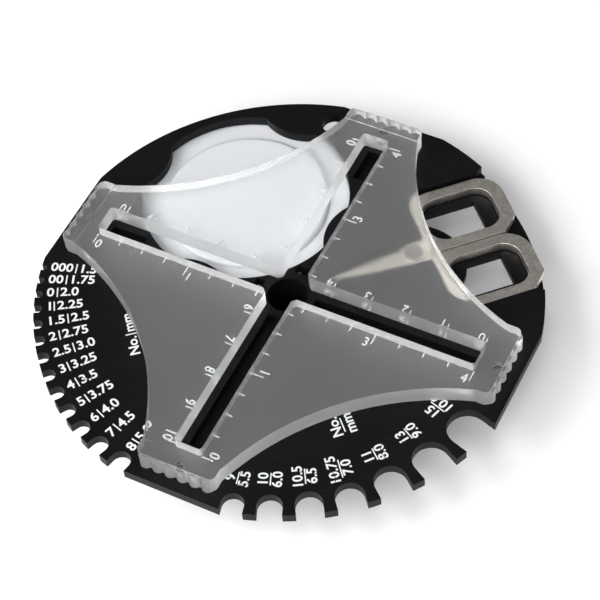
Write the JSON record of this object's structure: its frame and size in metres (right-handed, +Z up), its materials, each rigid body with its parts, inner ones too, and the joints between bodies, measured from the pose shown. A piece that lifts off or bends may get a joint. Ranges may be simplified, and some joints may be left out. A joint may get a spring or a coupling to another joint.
{
  "type": "pocket knitting gauge",
  "caption": "Round needle-size gauge plate with a lift-off clear ruler window, a push-out tape measure and small scissors that slide out of a rim pocket.",
  "frame": {"origin": "centre of the disc on the plane it stands on", "axes": "+Z up out of the ruler window, +X and +Y along the two ruler slots; the scissors slide out along +X+Y and the tape measure lies towards -X+Y"},
  "size_m": [0.1212, 0.1212, 0.0192],
  "materials": {
    "black_plastic": "satin moulded, fine texture",
    "frosted_plastic": "frosted clear moulding with glossier edges",
    "white_plastic": "satin moulded",
    "inner_plastic": "matt moulded",
    "scissor_steel": "dark satin with polished edges",
    "rivet_steel": "polished",
    "screw_steel": "plated",
    "spring_steel": "plain",
    "white_print": "printed",
    "tape_fabric": "coated woven ribbon with printed scale"
  },
  "bodies": {
    "holder": {"gauge_plate": "black_plastic", "back_shell": "black_plastic", "back_screws": "screw_steel"},
    "window": {"ruler_window": "frosted_plastic"},
    "tape_measure": {"tape_case_front": "white_plastic", "tape_case_back": "white_plastic", "case_screws": "screw_steel", "power_spring": "spring_steel", "button_spring": "spring_steel"},
    "button": {"tape_button": "white_plastic"},
    "drum": {"tape_drum": "inner_plastic", "drum_cover": "inner_plastic", "tape_ribbon": "tape_fabric"},
    "tab": {"tape_tab": "white_plastic", "tape_run": "tape_fabric"},
    "scissors_pivot": {"scissor_rivet": "rivet_steel"},
    "left_half": {"scissor_left": "scissor_steel"},
    "right_half": {"scissor_right": "scissor_steel"}
  },
  "joints": [
    {"name": "window_lift", "type": "slide", "parent": "holder", "child": "window", "axis": [0, 0, 1], "range_m": [0, 0.03]},
    {"name": "tape_measure_out", "type": "slide", "parent": "holder", "child": "tape_measure", "axis": [0, 0, -1], "range_m": [0, 0.02]},
    {"name": "button_push", "type": "slide", "parent": "tape_measure", "child": "button", "axis": [0, 0, 1], "range_m": [0, 0.0012], "stiffness_N_per_m": 300, "deforming": ["button_spring"]},
    {"name": "drum_spin", "type": "hinge", "parent": "tape_measure", "child": "drum", "pos_m": [-0.0238, 0.0238, 0.006], "axis": [0, 0, 1], "range_deg": [0, 5209]},
    {"name": "tape_pull", "type": "slide", "parent": "tape_measure", "child": "tab", "axis": [-1, 0, 0], "range_m": [0, 1.501]},
    {"name": "scissors_slide", "type": "slide", "parent": "holder", "child": "scissors_pivot", "axis": [0.7071, 0.7071, 0], "range_m": [0, 0.08]},
    {"name": "scissor_left_open", "type": "hinge", "parent": "scissors_pivot", "child": "left_half", "pos_m": [0.02305, 0.02305, 0.0116], "axis": [0, 0, 1], "range_deg": [0, 12.05]},
    {"name": "scissor_right_open", "type": "hinge", "parent": "scissors_pivot", "child": "right_half", "pos_m": [0.02305, 0.02305, 0.0116], "axis": [0, 0, -1], "range_deg": [0, 12.05]}
  ],
  "couplings": [
    {"joint": "tape_pull", "follows": "drum_spin", "m_per_rad": 0.0165},
    {"joint": "scissor_left_open", "follows": "scissors_slide", "rad_per_m": 2.618},
    {"joint": "scissor_right_open", "follows": "scissors_slide", "rad_per_m": 2.618}
  ]
}
